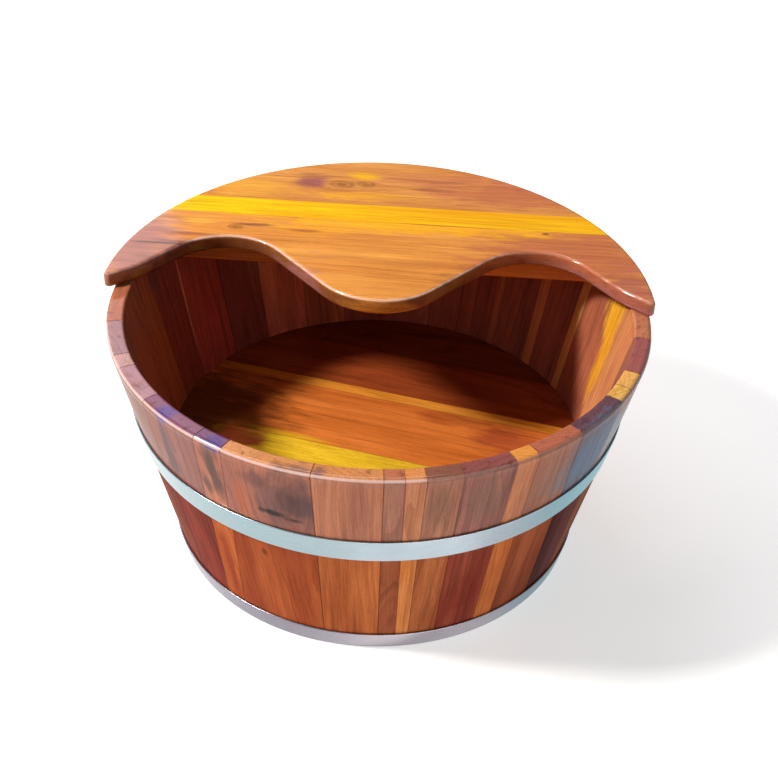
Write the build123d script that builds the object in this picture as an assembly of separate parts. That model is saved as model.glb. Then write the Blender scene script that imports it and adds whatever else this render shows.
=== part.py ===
from build123d import *
import os
from math import cos, radians, sin, sqrt

# A coopered foot-soaking tub with a loose half lid.
# Millimetres, +Z up. The origin is the middle of the ring that the tub stands on.
# The bather sits on the -Y side, where the tub is open. The lid covers the +Y half.

# The tub's shell
rim_diameter = 400.0
foot_diameter = 305.0
tub_height = 196.0
stave_thickness = 13.5
rim_outer_chamfer = 2.4
rim_inner_chamfer = 1.2

# Widths of the staves in the order that they stand, measured along the rim.
# The list is scaled to close the ring, and starts at first_joint_turn, counted from +X.
stave_width_shares = (
    44, 16, 42, 54, 23, 65, 48, 14, 14, 25, 38, 17, 39, 47, 16, 20, 46,
    60, 57, 11, 39, 12, 39, 29, 47, 46, 45, 41, 46, 44, 51, 40, 31, 51,
)
first_joint_turn = -172.0

# Some boards are planed to less taper than others, so their joints lean:
# joint number, and how many degrees further round it ends at the foot.
joint_leans = {
    3: -2.5, 4: -6.5, 5: -7.0, 6: -0.6, 8: 0.8, 11: 0.6, 12: 1.4, 13: 3.5,
    18: -3.0, 19: -0.7, 20: -0.5, 21: -1.0, 22: -1.0, 23: -1.5, 24: -1.0,
}

# The hoops: flat steel strip, bent to the shell's cone, lapped and riveted at the back
strip_thickness = 1.4
hoop_clearance = 0.15
upper_hoop_width = 21.0
upper_hoop_height = 109.5
lower_hoop_width = 15.5
lower_hoop_height = 0.5
upper_lap_turn = 97.0
lower_lap_turn = 74.0
lap_length = 38.0
rivet_spacing = 20.0
rivet_diameter = 4.0
rivet_head_diameter = 8.0
rivet_head_height = 1.5
rivet_clearance = 0.1

# The floor: boards butted on loose tenons, let into a groove round the inside of the staves
floor_height = 60.0
floor_thickness = 16.0
groove_depth = 4.5
groove_clearance = 0.3
floor_turn = -16.4
floor_joint_shares = (-0.564, -0.152, 0.281, 0.346, 0.676)
floor_tenon_place_shares = (-0.62, 0.0, 0.62)

# The lid: three boards on loose tenons, with a waved front edge that leaves room for the legs
lid_thickness = 12.6
lid_overhang = 4.0
lid_arris_chamfer = 2.2
lid_tip_round = 3.5
lid_shift_x = -2.4
lid_shift_y = -6.8
lid_turn = -3.0
lid_board_turn = -0.7
lid_joint_shares = (0.522, 0.643)
lid_tenon_place_shares = (-0.8, -0.27, 0.27, 0.8)

# The wave is a bent line with rounded corners, as shares of the lid's radius. From the middle
# outwards: the tongue between the legs, the deepest point of a leg recess, and where it flares out.
tongue_corner_shares = (0.0, -0.154)
tongue_round_share = 0.265
recess_corner_shares = (0.575, 0.492)
recess_round_share = 0.242
flare_corner_shares = (0.874, 0.133)
flare_round_share = 0.42
tip_share = 0.038

# The cleat under the lid, just behind the leg recesses
cleat_width = 30.0
cleat_depth = 18.0
cleat_setback = 10.0
cleat_end_clearance = 3.0
cleat_chamfer = 2.0
screw_place_shares = (-0.6, 0.0, 0.6)
screw_shank_diameter = 4.0
screw_head_diameter = 8.0
screw_head_height = 2.6
screw_grip = 8.0
screw_clearance = 0.1

# Loose tenons in the floor and the lid
tenon_length = 30.0
tenon_thickness = 5.0
tenon_grip = 10.0
tenon_clearance = 0.1
tenon_end_clearance = 0.5

# How far a cutting tool runs past the face that it cuts, in millimetres and in degrees of turn
overrun = 5.0
turn_overrun = 1.0

# Sizes worked out from those above
rim_radius = rim_diameter / 2
foot_radius = foot_diameter / 2
lid_radius = rim_radius + lid_overhang
floor_top = floor_height + floor_thickness


def wall_radius(height):
    """Outer radius of the shell's cone at a height."""
    return foot_radius + (rim_radius - foot_radius) * height / tub_height


def inner_radius(height):
    """Inner radius of the shell at a height."""
    return wall_radius(height) - stave_thickness


groove_radius = inner_radius(floor_height + floor_thickness / 2) + groove_depth
floor_radius = groove_radius - groove_clearance


def at_turn(radius, turn, height):
    """The point at a radius, a turn from +X and a height."""
    return Vector(radius * cos(radians(turn)), radius * sin(radians(turn)), height)


def revolved(section, start, arc):
    """A section drawn on the XZ plane, turned about Z from a start angle through an arc."""
    return Rot(0, 0, start) * revolve(section, Axis.Z, arc)


def stave_section():
    """The section of every stave: eased rim, tapered wall, and the groove for the floor."""
    groove_top = floor_top + groove_clearance
    with BuildSketch(Plane.XZ) as section:
        Polygon(
            (inner_radius(0), 0),
            (foot_radius, 0),
            (rim_radius, tub_height),
            (inner_radius(tub_height), tub_height),
            (inner_radius(groove_top), groove_top),
            (groove_radius, groove_top),
            (groove_radius, floor_height),
            (inner_radius(floor_height), floor_height),
            align=None,
        )
        inner_edge, outer_edge = section.vertices().sort_by(Axis.Y)[-2:].sort_by(Axis.X)
        chamfer(inner_edge, rim_inner_chamfer)
        chamfer(outer_edge, rim_outer_chamfer)
    return section.sketch


def stave_joints():
    """Where each joint meets the rim and the foot, as two turns, all the way round."""
    total = sum(stave_width_shares)
    turn = first_joint_turn
    joints = []
    for number, width in enumerate(stave_width_shares):
        joints.append((turn, turn + joint_leans.get(number, 0)))
        turn += 360 * width / total
    joints.append((joints[0][0] + 360, joints[0][1] + 360))
    return joints


def joint_plane(joint):
    """The flat planed face of a joint, facing the next stave round."""
    middle = Vector(0, 0, tub_height / 2)
    at_rim = at_turn(rim_radius, joint[0], tub_height) - middle
    at_foot = at_turn(foot_radius, joint[1], 0) - middle
    return Plane(middle, x_dir=at_rim, z_dir=at_rim.cross(at_foot))


def stave(section, first, second):
    """One stave: a length of the turned ring, planed along both of its joints."""
    start = min(first) - turn_overrun
    blank = revolved(section, start, max(second) + turn_overrun - start)
    blank = split(blank, joint_plane(first), keep=Keep.TOP)
    return split(blank, joint_plane(second), keep=Keep.BOTTOM)


def strip_section(bottom, width, offset, thickness):
    """The section of a steel strip that lies on the shell's cone."""
    top = bottom + width
    with BuildSketch(Plane.XZ) as section:
        Polygon(
            (wall_radius(bottom) + offset, bottom),
            (wall_radius(bottom) + offset + thickness, bottom),
            (wall_radius(top) + offset + thickness, top),
            (wall_radius(top) + offset, top),
            align=None,
        )
    return section.sketch


def rivet_places(bottom, width, lap_turn):
    """The planes of a hoop's rivets, each with its origin on the strip's inner face."""
    height = bottom + width / 2
    radius = wall_radius(height) + hoop_clearance
    slope = (rim_radius - foot_radius) / tub_height
    half_step = rivet_spacing / 2 / radians(1) / radius
    places = []
    for turn in (lap_turn - half_step, lap_turn + half_step):
        outwards = at_turn(1, turn, -slope)
        places.append(Plane(at_turn(radius, turn, height), z_dir=outwards))
    return places


def hoop(bottom, width, lap_turn):
    """A closed hoop, double where its ends lap, with the rivet holes through both layers."""
    lap = lap_length / radians(1) / wall_radius(bottom)
    band = revolved(strip_section(bottom, width, hoop_clearance, strip_thickness), lap_turn - lap / 2, 360)
    outer_layer = strip_section(bottom, width, hoop_clearance + strip_thickness, strip_thickness)
    band += revolved(outer_layer, lap_turn - lap / 2, lap)
    drill = Cylinder(rivet_diameter / 2 + rivet_clearance, 2 * (2 * strip_thickness + overrun))
    for place in rivet_places(bottom, width, lap_turn):
        band -= place * drill
    return band


def rivet():
    """A flat-topped rivet along Z, its foot on the strip's inner face."""
    grip = 2 * strip_thickness
    shank = rivet_diameter / 2
    head = rivet_head_diameter / 2
    top = grip + rivet_head_height
    with BuildSketch(Plane.XZ) as section:
        Polygon((0, 0), (shank, 0), (shank, grip), (head, grip), (head, top), (0, top), align=None)
    return revolve(section.sketch, Axis.Z)


def hoop_sizes():
    """Each hoop's name, lower edge, width and the turn of its lap."""
    return (
        ("upper_hoop", upper_hoop_height, upper_hoop_width, upper_lap_turn),
        ("lower_hoop", lower_hoop_height, lower_hoop_width, lower_lap_turn),
    )


def board_strips(radius, shares, thickness):
    """Straight strips along X that share a round panel between its joints, front to back."""
    edges = [-radius - overrun] + [share * radius for share in shares] + [radius + overrun]
    strips = []
    for front, back in zip(edges, edges[1:]):
        blank = Box(2 * radius + 2 * overrun, back - front, thickness, align=(Align.CENTER, Align.MIN, Align.CENTER))
        strips.append(Pos(0, front, 0) * blank)
    return strips


def tenon_rows(radius, joint_shares):
    """First and last joint of each row. One row crosses both joints of a board narrower than its tenons."""
    rows = []
    for share in joint_shares:
        if rows and (share - rows[-1][1]) * radius < 2 * tenon_grip:
            rows[-1] = (rows[-1][0], share)
        else:
            rows.append((share, share))
    return rows


def tenons(radius, joint_shares, place_shares, spare=0.0, end_spare=0.0):
    """A panel's loose tenons, or the mortises for them where a spare is given."""
    blocks = []
    for first, last in tenon_rows(radius, joint_shares):
        half_joint = radius * sqrt(1 - max(abs(first), abs(last)) ** 2)
        depth = (last - first) * radius + 2 * (tenon_grip + end_spare)
        block = Box(tenon_length + 2 * spare, depth, tenon_thickness + 2 * spare)
        middle = radius * (first + last) / 2
        blocks += [Pos(share * half_joint, middle, 0) * block for share in place_shares]
    return blocks


def floor_tenons(spare=0.0, end_spare=0.0):
    """All the floor's tenons, or the mortises for them."""
    return tenons(floor_radius, floor_joint_shares, floor_tenon_place_shares, spare, end_spare)


def lid_tenons(spare=0.0, end_spare=0.0):
    """All the lid's tenons, or the mortises for them."""
    return tenons(lid_radius, lid_joint_shares, lid_tenon_place_shares, spare, end_spare)


def panel_boards(panel, radius, joint_shares, thickness, holes):
    """The separate boards of a panel that lies flat about the origin, cut for its tenons and screws."""
    cut = panel
    for hole in holes:
        cut -= hole
    return [cut & strip for strip in board_strips(radius, joint_shares, thickness)]


def wave_edge():
    """The waved edge's corners from the left tip to the right, with the round of each but the tips."""
    corners = (
        (tongue_corner_shares, tongue_round_share),
        (recess_corner_shares, recess_round_share),
        (flare_corner_shares, flare_round_share),
    )
    right = [(x * lid_radius, y * lid_radius, size * lid_radius) for (x, y), size in corners]
    left = [(-x, y, size) for x, y, size in reversed(right[1:])]
    return left + right


def lid_panel():
    """The lid in one piece, its middle at the origin: a round back and a waved front."""
    tip_y = tip_share * lid_radius
    tip_x = sqrt(lid_radius**2 - tip_y**2)
    corners = wave_edge()
    with BuildSketch() as outline:
        with BuildLine():
            Polyline((-tip_x, tip_y), *[(x, y) for x, y, size in corners], (tip_x, tip_y))
            ThreePointArc((tip_x, tip_y), (0, lid_radius), (-tip_x, tip_y))
        make_face()
        for x, y, size in corners:
            fillet(outline.vertices().sort_by_distance((x, y, 0))[0], size)
        for side in (-1, 1):
            fillet(outline.vertices().sort_by_distance((side * tip_x, tip_y, 0))[0], lid_tip_round)
    panel = extrude(outline.sketch, lid_thickness / 2, both=True)
    arrises = panel.faces().filter_by(Axis.Z).edges()
    return chamfer(arrises, lid_arris_chamfer)


def recess_depth():
    """How far behind the lid's middle the deepest point of a leg recess lies."""
    tongue, recess, flare = [Vector(x, y) for x, y, size in wave_edge()[-3:]]
    size = recess_round_share * lid_radius
    to_tongue = (tongue - recess).normalized()
    to_flare = (flare - recess).normalized()
    half_angle = radians(to_tongue.get_angle(to_flare)) / 2
    centre = recess + (to_tongue + to_flare).normalized() * (size / sin(half_angle))
    return centre.Y + size


def lid_place():
    """Where the middle of the lid's thickness lies on the rim."""
    return Pos(lid_shift_x, lid_shift_y, tub_height + lid_thickness / 2) * Rot(0, 0, lid_turn)


def cleat_place():
    """The middle of the cleat's upper face, with its long side along X."""
    front = recess_depth() + cleat_setback
    return lid_place() * Rot(0, 0, lid_board_turn) * Pos(0, front + cleat_width / 2, -lid_thickness / 2)


def cleat_length():
    """Length that the cleat's ends are cut from."""
    return 2 * inner_radius(tub_height)


def screw(spare=0.0):
    """A countersunk screw along Z, its head at the bottom, or the hole for it."""
    shank = screw_shank_diameter / 2 + spare
    head = screw_head_diameter / 2 + spare
    top = cleat_depth + screw_grip + spare
    with BuildSketch(Plane.XZ) as section:
        Polygon((0, 0), (head, 0), (shank, screw_head_height), (shank, top), (0, top), align=None)
    return revolve(section.sketch, Axis.Z)


def screws(spare=0.0):
    """The cleat's screws, or the holes for them where a spare is given."""
    place = cleat_place() * Pos(0, 0, -cleat_depth)
    half = cleat_length() / 2
    return [place * Pos(share * half, 0, 0) * screw(spare) for share in screw_place_shares]


def cleat():
    """The cleat, its ends cut round to clear the inside of the staves."""
    blank = Box(cleat_length(), cleat_width, cleat_depth, align=(Align.CENTER, Align.CENTER, Align.MAX))
    blank = chamfer(blank.faces().sort_by(Axis.Z)[0].edges().filter_by(Axis.X), cleat_chamfer)
    reach = inner_radius(tub_height - cleat_depth) - cleat_end_clearance
    body = cleat_place() * blank & Pos(0, 0, tub_height) * Cylinder(reach, 2 * cleat_depth + overrun)
    for hole in screws(screw_clearance):
        body -= hole
    return body


def save(shape, name):
    """Write one node's solid, or group of solids, to its file."""
    export_step(shape, f"parts/{name}.step")
    print(f"{name}: {len(shape.solids())} solids, {shape.volume / 1000:.1f} cm3")


def make_staves():
    section = stave_section()
    joints = stave_joints()
    for number, (first, second) in enumerate(zip(joints, joints[1:]), start=1):
        save(stave(section, first, second), f"stave_{number:02d}")


def make_hoops():
    rivets = []
    for name, *sizes in hoop_sizes():
        save(hoop(*sizes), name)
        rivets += [place * rivet() for place in rivet_places(*sizes)]
    save(Compound(rivets), "hoop_rivets")


def make_floor():
    place = Pos(0, 0, floor_height + floor_thickness / 2) * Rot(0, 0, floor_turn)
    panel = Cylinder(floor_radius, floor_thickness)
    mortises = floor_tenons(tenon_clearance, tenon_end_clearance)
    boards = panel_boards(panel, floor_radius, floor_joint_shares, floor_thickness + overrun, mortises)
    for number, board in enumerate(boards, start=1):
        save(place * board, f"floor_board_{number}")
    save(Compound([place * tenon for tenon in floor_tenons()]), "floor_tenons")


def make_lid():
    names = ("lid_front_board", "lid_middle_board", "lid_back_board")
    turned = lid_place() * Rot(0, 0, lid_board_turn)
    panel = Rot(0, 0, -lid_board_turn) * lid_panel()
    holes = lid_tenons(tenon_clearance, tenon_end_clearance)
    holes += [turned.inverse() * hole for hole in screws(screw_clearance)]
    boards = panel_boards(panel, lid_radius, lid_joint_shares, lid_thickness + overrun, holes)
    for name, board in zip(names, boards):
        save(turned * board, name)
    save(Compound([turned * tenon for tenon in lid_tenons()]), "lid_tenons")
    save(cleat(), "lid_cleat")
    save(Compound(screws()), "cleat_screws")


os.makedirs("parts", exist_ok=True)
make_staves()
make_hoops()
make_floor()
make_lid()
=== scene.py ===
# %% [markdown]
# # A coopered foot tub with a waved half lid
#
# The tub is a ring of tapered hardwood staves, held by two steel hoops and closed by a floor that sits in a groove.
# A loose lid covers its back half. The CAD model is loaded first and stays as a fixed frame: every piece below is
# made in the same place and the same metres, so nothing has to be fitted afterwards.

# %% Load the CAD frame
import bpy
import bmesh
from math import atan2, ceil, cos, pi, radians, sin, sqrt, tan
from mathutils import Matrix, Vector


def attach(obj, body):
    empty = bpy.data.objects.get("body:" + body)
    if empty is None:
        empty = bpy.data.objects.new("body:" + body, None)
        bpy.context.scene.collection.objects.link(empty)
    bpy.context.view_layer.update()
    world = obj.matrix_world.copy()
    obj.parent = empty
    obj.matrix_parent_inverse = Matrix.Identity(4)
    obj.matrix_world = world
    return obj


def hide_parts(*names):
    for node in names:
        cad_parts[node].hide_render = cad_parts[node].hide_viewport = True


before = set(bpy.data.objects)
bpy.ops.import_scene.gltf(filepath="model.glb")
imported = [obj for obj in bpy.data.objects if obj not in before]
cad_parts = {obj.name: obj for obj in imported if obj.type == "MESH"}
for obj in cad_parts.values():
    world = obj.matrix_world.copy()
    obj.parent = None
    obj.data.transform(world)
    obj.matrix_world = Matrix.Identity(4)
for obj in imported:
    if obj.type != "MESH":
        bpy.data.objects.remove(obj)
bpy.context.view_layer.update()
MM = 0.001

# %% [markdown]
# ## Camera
#
# A photograph of a round object tells a lot about its camera: how flat the rim's ellipse is gives the camera's
# height, and how much narrower the far side looks gives its distance. Both were worked out from the rim, the hoops
# and the lid, so the values are plain numbers here: an eye point, a point to look at and a small roll.

# %% Camera
eye = Vector((0.0, -988.9, 857.9)) * MM
aim = Vector((8.7, 0.0, 120.7)) * MM
camera_roll = radians(1.77)

back = (eye - aim).normalized()
level_right = Vector((0, 0, 1)).cross(back).normalized()
level_up = back.cross(level_right)
camera_right = level_right * cos(camera_roll) + level_up * sin(camera_roll)
camera_up = level_up * cos(camera_roll) - level_right * sin(camera_roll)

lens = bpy.data.cameras.new("photo_camera")
lens.lens = 74.84
lens.sensor_width = 36.0
camera = bpy.data.objects.new("photo_camera", lens)
camera.matrix_world = Matrix.Translation(eye) @ Matrix((camera_right, camera_up, back)).transposed().to_4x4()
bpy.context.scene.collection.objects.link(camera)
bpy.context.scene.camera = camera
bpy.context.scene.view_settings.view_transform = "Standard"
print("camera distance", round((eye - aim).length, 3), "m")

# %% [markdown]
# ## Light
#
# Varnish shows what it reflects, so the lamps are soft panels, like windows. The strong one stands high at the left:
# it leaves the left half of the inside in deep shade and lights the right half. A wide one behind at the left makes
# the pale shine along the rim, and a narrow strip overhead the sheen on the lid. A long low one in front reaches the
# staves but not the inside, because the front wall is in its way.

# %% Light panels
def light_panel(name, place, aim_at, size, watts, lamp_colour):
    lamp = bpy.data.lights.new(name, "AREA")
    lamp.shape = "RECTANGLE"
    lamp.size, lamp.size_y = size
    lamp.energy = watts
    lamp.color = lamp_colour
    panel = bpy.data.objects.new(name, lamp)
    direction = Vector(aim_at) - Vector(place)
    panel.matrix_world = Matrix.Translation(place) @ direction.to_track_quat("-Z", "Y").to_matrix().to_4x4()
    bpy.context.scene.collection.objects.link(panel)


light_panel("key_panel", (-2.04, -0.36, 2.28), (0, 0, 0.1), (0.4, 0.4), 104.0, (1.0, 0.97, 0.92))
light_panel("haze_panel", (-1.15, 1.5, 1.3), (-0.1, 0, 0.15), (1.7, 1.1), 12.0, (1.0, 0.93, 1.0))
light_panel("overhead_strip", (-0.4, 0.62, 1.7), (-0.1, -0.05, 0.2), (1.3, 0.16), 8.0, (1.0, 0.93, 0.95))
light_panel("low_front_panel", (0.45, -1.9, 0.08), (0, 0, 0.09), (2.0, 0.14), 8.0, (1.0, 0.96, 0.92))

world = bpy.data.worlds.new("pale_room")
world.use_nodes = True
room = world.node_tree.nodes["Background"]
room.inputs["Color"].default_value = (0.93, 0.95, 1.0, 1.0)
room.inputs["Strength"].default_value = 0.18
bpy.context.scene.world = world
print("four light panels and a dim room")

# %% [markdown]
# ## Nodes
#
# Every material and every Geometry Nodes tree below is a list of nodes, so one short function adds a node, chooses
# its settings and fills its inputs. Values fill the inputs in their order. A word with a capital names an input, and
# any other word names a setting. What comes out of another node is linked, and anything else is set on the input.

# %% A node with its settings and links
families = ("ShaderNode", "GeometryNode", "FunctionNode", "")


def add(tree, kind, *values, **words):
    """A new node. "Math ADD" is a Math node that adds, and Base_Color=... fills the input called Base Color."""
    kind, _, operation = kind.partition(" ")
    node = tree.nodes.new(next(family + kind for family in families if hasattr(bpy.types, family + kind)))
    if operation:
        node.operation = operation
    for word in [word for word in words if word[0].islower()]:
        setattr(node, word, words.pop(word))
    filled = list(zip([socket for socket in node.inputs if socket.enabled], values))
    filled += [(node.inputs[word.replace("_", " ")], value) for word, value in words.items()]
    for socket, value in filled:
        if isinstance(value, bpy.types.Node):
            value = next(output for output in value.outputs if output.enabled)
        if isinstance(value, bpy.types.NodeSocket):
            tree.links.new(value, socket)
        else:
            socket.default_value = value
    return node


# Two settings that many nodes share: a soft start and end, and mixing colours instead of numbers
smooth = {"interpolation_type": "SMOOTHSTEP"}
rgb = {"data_type": "RGBA"}
print("node types start with", families)


# %% Colours, and an empty material
def colour(code):
    """A web colour, such as B4602F, turned from sRGB to the linear values that Blender wants."""
    parts = [int(code[n:n + 2], 16) / 255 for n in (0, 2, 4)]
    return tuple(p / 12.92 if p <= 0.04045 else ((p + 0.055) / 1.055) ** 2.4 for p in parts) + (1.0,)


def new_material(name):
    material = bpy.data.materials.new(name)
    material.use_nodes = True
    material.node_tree.nodes.clear()
    return material, material.node_tree


print("the web's middle grey is", round(colour("808080")[0], 3), "in linear light")

# %% [markdown]
# ## The floor of the studio
#
# A white sheet with light behind it, as on a product photographer's table. It isn't part of the tub, but it keeps
# the shadow pale, lights the wall from below and is what the steel hoops reflect.

# %% Studio floor
clouds_per_metre = 7.0
paper, tree = new_material("matt_sheet_lit_from_below")
where = add(tree, "TexCoord").outputs["Object"]
mottle = add(tree, "TexNoise", where, Scale=clouds_per_metre, Detail=3.0)
tint = add(tree, "Mix", mottle, colour("DADAD9"), colour("E2E2E1"), **rgb)
surface = add(tree, "BsdfPrincipled", Base_Color=tint, Roughness=0.75, Emission_Color=tint, Emission_Strength=0.8)
add(tree, "OutputMaterial", surface)

sheet_mesh = bpy.data.meshes.new("studio_floor")
half = 4.0
sheet_mesh.from_pydata([(-half, -half, 0), (half, -half, 0), (half, half, 0), (-half, half, 0)], [], [(0, 1, 2, 3)])
sheet_mesh.materials.append(paper)
studio_floor = bpy.data.objects.new("studio_floor", sheet_mesh)
bpy.context.scene.collection.objects.link(studio_floor)
print("studio floor", 2 * half, "m wide")

# %% [markdown]
# ## Varnished wood
#
# Wood is a solid pattern. A trunk is a bundle of rings round its pith, and a board is cut from somewhere beside it,
# so the same rings show as stripes on one face, as arches on another and as arcs on the end. A material that works
# in three dimensions gives all of them at once. Each board gets its own frame: Z runs along its grain and X out of
# its face.

# %% Where a board lies in its trunk
def grain_frame(middle, grain, face, tilt=0.0, turn=0.0):
    """Place and turn of a board's pattern. tilt runs the rings out of the face, turn runs them out of the side."""
    z_axis = Vector(grain).normalized()
    x_axis = (Vector(face) - z_axis * Vector(face).dot(z_axis)).normalized()
    axes = Matrix((x_axis, z_axis.cross(x_axis), z_axis)).transposed()
    axes = axes @ Matrix.Rotation(radians(tilt), 3, "Y") @ Matrix.Rotation(radians(turn), 3, "X")
    return Vector(middle), axes.to_euler()


print("an upright board is turned by", tuple(grain_frame((0, 0, 0), (0, 0, 1), (1, 0, 0))[1]))

# %% [markdown]
# Besides its rings, wood is full of long shapes: fibres, pores, streaks and slow changes of tone. Each is noise,
# stretched along the grain, so a table gives how wide and how long its lumps are. Real fibres and pores are about a
# tenth as wide, too fine for the render, so they are drawn as coarse as they need to show. Fibres part and flow
# round a knot. That is done by pushing the coordinates aside before anything reads them.

# %% Long shapes along the grain
# Width and length of a lump in millimetres, and its detail
grain_shapes = {
    "drift": (40, 240, 2.0), "tone": (24, 190, 2.0), "streaks": (5, 130, 3.0), "fibre": (0.7, 38, 3.0),
    "pores": (0.55, 7, 1.0), "ragged": (8, 26, 3.0), "ripple": (11, 26, 2.0),
}
# How far one step of the seed moves the pattern, so that no two boards are cut from the same place
seed_step = Vector((37.0, 61.0, 173.0))


def grain_patterns(tree, spot, seed, knots):
    """The grain's coordinates, parted round its knots, the patterns on them, and how far it is to each knot."""
    flow = spot
    reaches = []
    # reach is 1 at the rim of a knot, and the fibres are straight again beyond 3.4
    for point, size, _ in knots:
        offset = add(tree, "VectorMath SUBTRACT", spot, point)
        reach = add(tree, "VectorMath LENGTH", add(tree, "VectorMath MULTIPLY", offset, (0, 1 / size, 0.55 / size)))
        sideways = add(tree, "VectorMath MULTIPLY", offset, (0, 1, 0))
        push = add(tree, "MapRange", reach, 0.3, 3.4, 0.9, 0.0, **smooth)
        flow = add(tree, "VectorMath SUBTRACT", flow, add(tree, "VectorMath SCALE", sideways, push))
        reaches.append(reach)
    shifted = add(tree, "VectorMath ADD", flow, seed_step * seed)
    patterns = {}
    for name, (wide, long, detail) in grain_shapes.items():
        stretched = add(tree, "VectorMath MULTIPLY", shifted, (1 / wide, 1 / wide, 1 / long))
        patterns[name] = add(tree, "TexNoise", stretched, Scale=1.0, Detail=detail)
    return flow, patterns, reaches


print(len(grain_shapes), "long shapes, the finest", min(wide for wide, _, _ in grain_shapes.values()), "mm wide")

# %% [markdown]
# The rings are the distance from a pith line that lies outside the board. A ring starts pale in spring and ends in a
# thin dark line of late wood, so the fraction of its width, raised to a power, is its darkness. Good and bad years
# make rings uneven, in width and in strength. The slow drift of the trunk bends them before this function sees them.

# %% Year rings
# The higher, the thinner and sharper the dark line at the end of a ring
late_power = 2.5


def late_wood(tree, bent, pith, ring_width):
    """How dark the late wood of the rings is, from 0 to 1."""
    from_pith = add(tree, "VectorMath SUBTRACT", bent, (*pith, 0))
    in_rings = add(tree, "VectorMath MULTIPLY", from_pith, (1 / ring_width, 1 / ring_width, 0))
    distance = add(tree, "VectorMath LENGTH", in_rings)
    slowly = add(tree, "Math MULTIPLY", distance, 0.4)
    years = add(tree, "TexNoise", slowly, Scale=1.0, Detail=3.0, noise_dimensions="1D")
    age = add(tree, "Math FRACT", add(tree, "Math ADD", distance, add(tree, "Math MULTIPLY", years, 2.0)))
    strength = add(tree, "MapRange", years, 0.3, 0.7, 0.25, 0.9, **smooth)
    return add(tree, "Math MULTIPLY", add(tree, "Math POWER", age, late_power), strength)


print("late wood is half dark at", round(0.5 ** (1 / late_power), 2), "of a ring")

# %% [markdown]
# The finish is built up in layers, as a painter glazes: each layer is one colour, laid over what is there to a share
# that rises or falls with something, such as the height on the wall or the distance from the middle of a stain. So
# one function lays them all. A layer with a limit on two sides has two such spans, and their shares multiply.

# %% A layer of colour
def laid_over(tree, paint, code, *spans):
    """A span is (value, low, high, share at low, share at high). The shares are 0 and 1 where they are left out."""
    share = None
    for span in spans:
        rise = add(tree, "MapRange", *span, **smooth)
        share = rise if share is None else add(tree, "Math MULTIPLY", share, rise)
    return add(tree, "Mix", share, paint, colour(code), **rgb)


print("a layer with one span takes two nodes, and each further span takes two more")

# %% [markdown]
# The ground colour goes slowly from light to middle tone along the board, and turns yellow where there is sapwood.
# On the wall, a pale veil over the band above the upper hoop is a painted reflection haze, and a pinkish-grey veil on
# the inside is painted fill light that lifts its shade. Which way a face looks matters too: sawn ends and sawn edges
# soak up the varnish and take their own tone, and a pale line on the slanting face of an upper edge is a painted
# highlight.

# %% Ground colour and sapwood
def ground_colour(tree, light, middle, patterns, bent, sap):
    """sap is the colour of the sapwood, its two limits across the board and how blurred each of them is."""
    paint = laid_over(tree, colour(light), middle, (patterns["tone"], 0.3, 0.7))
    if sap:
        code, low, high, low_blur, high_blur = sap
        across = add(tree, "SeparateXYZ", bent).outputs["Y"]
        paint = laid_over(tree, paint, code, (across, low - low_blur, low + low_blur),
                          (across, high - high_blur, high + high_blur, 1.0, 0.0))
    return paint


print("sapwood is laid over the tone, so it hides the tone's changes")

# %% Painted reflection haze on the wall, and painted fill light inside
# The height at which the band of painted reflection haze starts, and where it is whole
band_from, band_to = 112.0, 132.0


def place_on_shell(tree, at, shell):
    """How high a point is, and how far outside the outer face of the wall, in millimetres."""
    foot, rim, height = shell
    up = add(tree, "Math DIVIDE", add(tree, "SeparateXYZ", at).outputs["Z"], MM)
    level = add(tree, "VectorMath LENGTH", add(tree, "VectorMath MULTIPLY", at, (1, 1, 0)))
    from_axis = add(tree, "Math DIVIDE", level, MM)
    return up, add(tree, "Math SUBTRACT", from_axis, add(tree, "Math MULTIPLY_ADD", up, (rim - foot) / height, foot))


def veils_of_painted_light(tree, paint, up, outwards, painted_haze):
    """Painted reflection haze outside above the hoop, and a pinkish-grey veil of painted fill light inside, which is
    9 mm or more behind the outer face.
    """
    paint = laid_over(tree, paint, "C2C2BC", (up, band_from, band_to), (outwards, -9.0, -4.0, 0.0, painted_haze))
    # A pinkish-grey veil of painted fill light lifts the shade on the inside
    return laid_over(tree, paint, "C89C98", (outwards, -13.0, -9.0, 0.2, 0.0))


# The band above holds a painted reflection haze
print("the band is bleached above", band_from, "mm")

# %% Sawn ends, sawn edges, and a painted highlight on upper edges
# The pale pink of a painted highlight on the rounded upper edges
glint_colour = "F8E4E6"


def toned_by_face(tree, paint, normal, end_tone, edge_tone, painted_glint):
    """end_tone colours faces that look up, edge_tone upright ones, and painted_glint lays a painted highlight on the
    slanting ones between them.
    """
    upwards = add(tree, "SeparateXYZ", normal).outputs["Z"]
    if end_tone:
        paint = laid_over(tree, paint, end_tone, (upwards, 0.55, 0.9, 0.0, 0.85))
    if edge_tone:
        paint = laid_over(tree, paint, edge_tone, (add(tree, "Math ABSOLUTE", upwards), 0.25, 0.75, 0.8, 0.0))
    if painted_glint:
        paint = laid_over(tree, paint, glint_colour, (upwards, 0.45, 0.65, 0.0, painted_glint), (upwards, 0.85, 0.96, 1.0, 0.0))
    return paint


# The colour printed here is the painted highlight's
print("rubbed wood is", [round(v, 2) for v in colour(glint_colour)[:3]], "in linear light")

# %% [markdown]
# A stain is a soft patch: an oval on the face that goes a little way into the wood, with a ragged outline. Patches
# of painted light, painted shade and painted reflection are laid the same way. The rings, streaks, knots, fibres and
# pores come after it and darken whatever colour is there, as they do in real wood. Last comes the dark line where
# dirt and glue fill a joint.

# %% Stains, and patches of painted light and shade
stain_depth = 11


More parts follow.
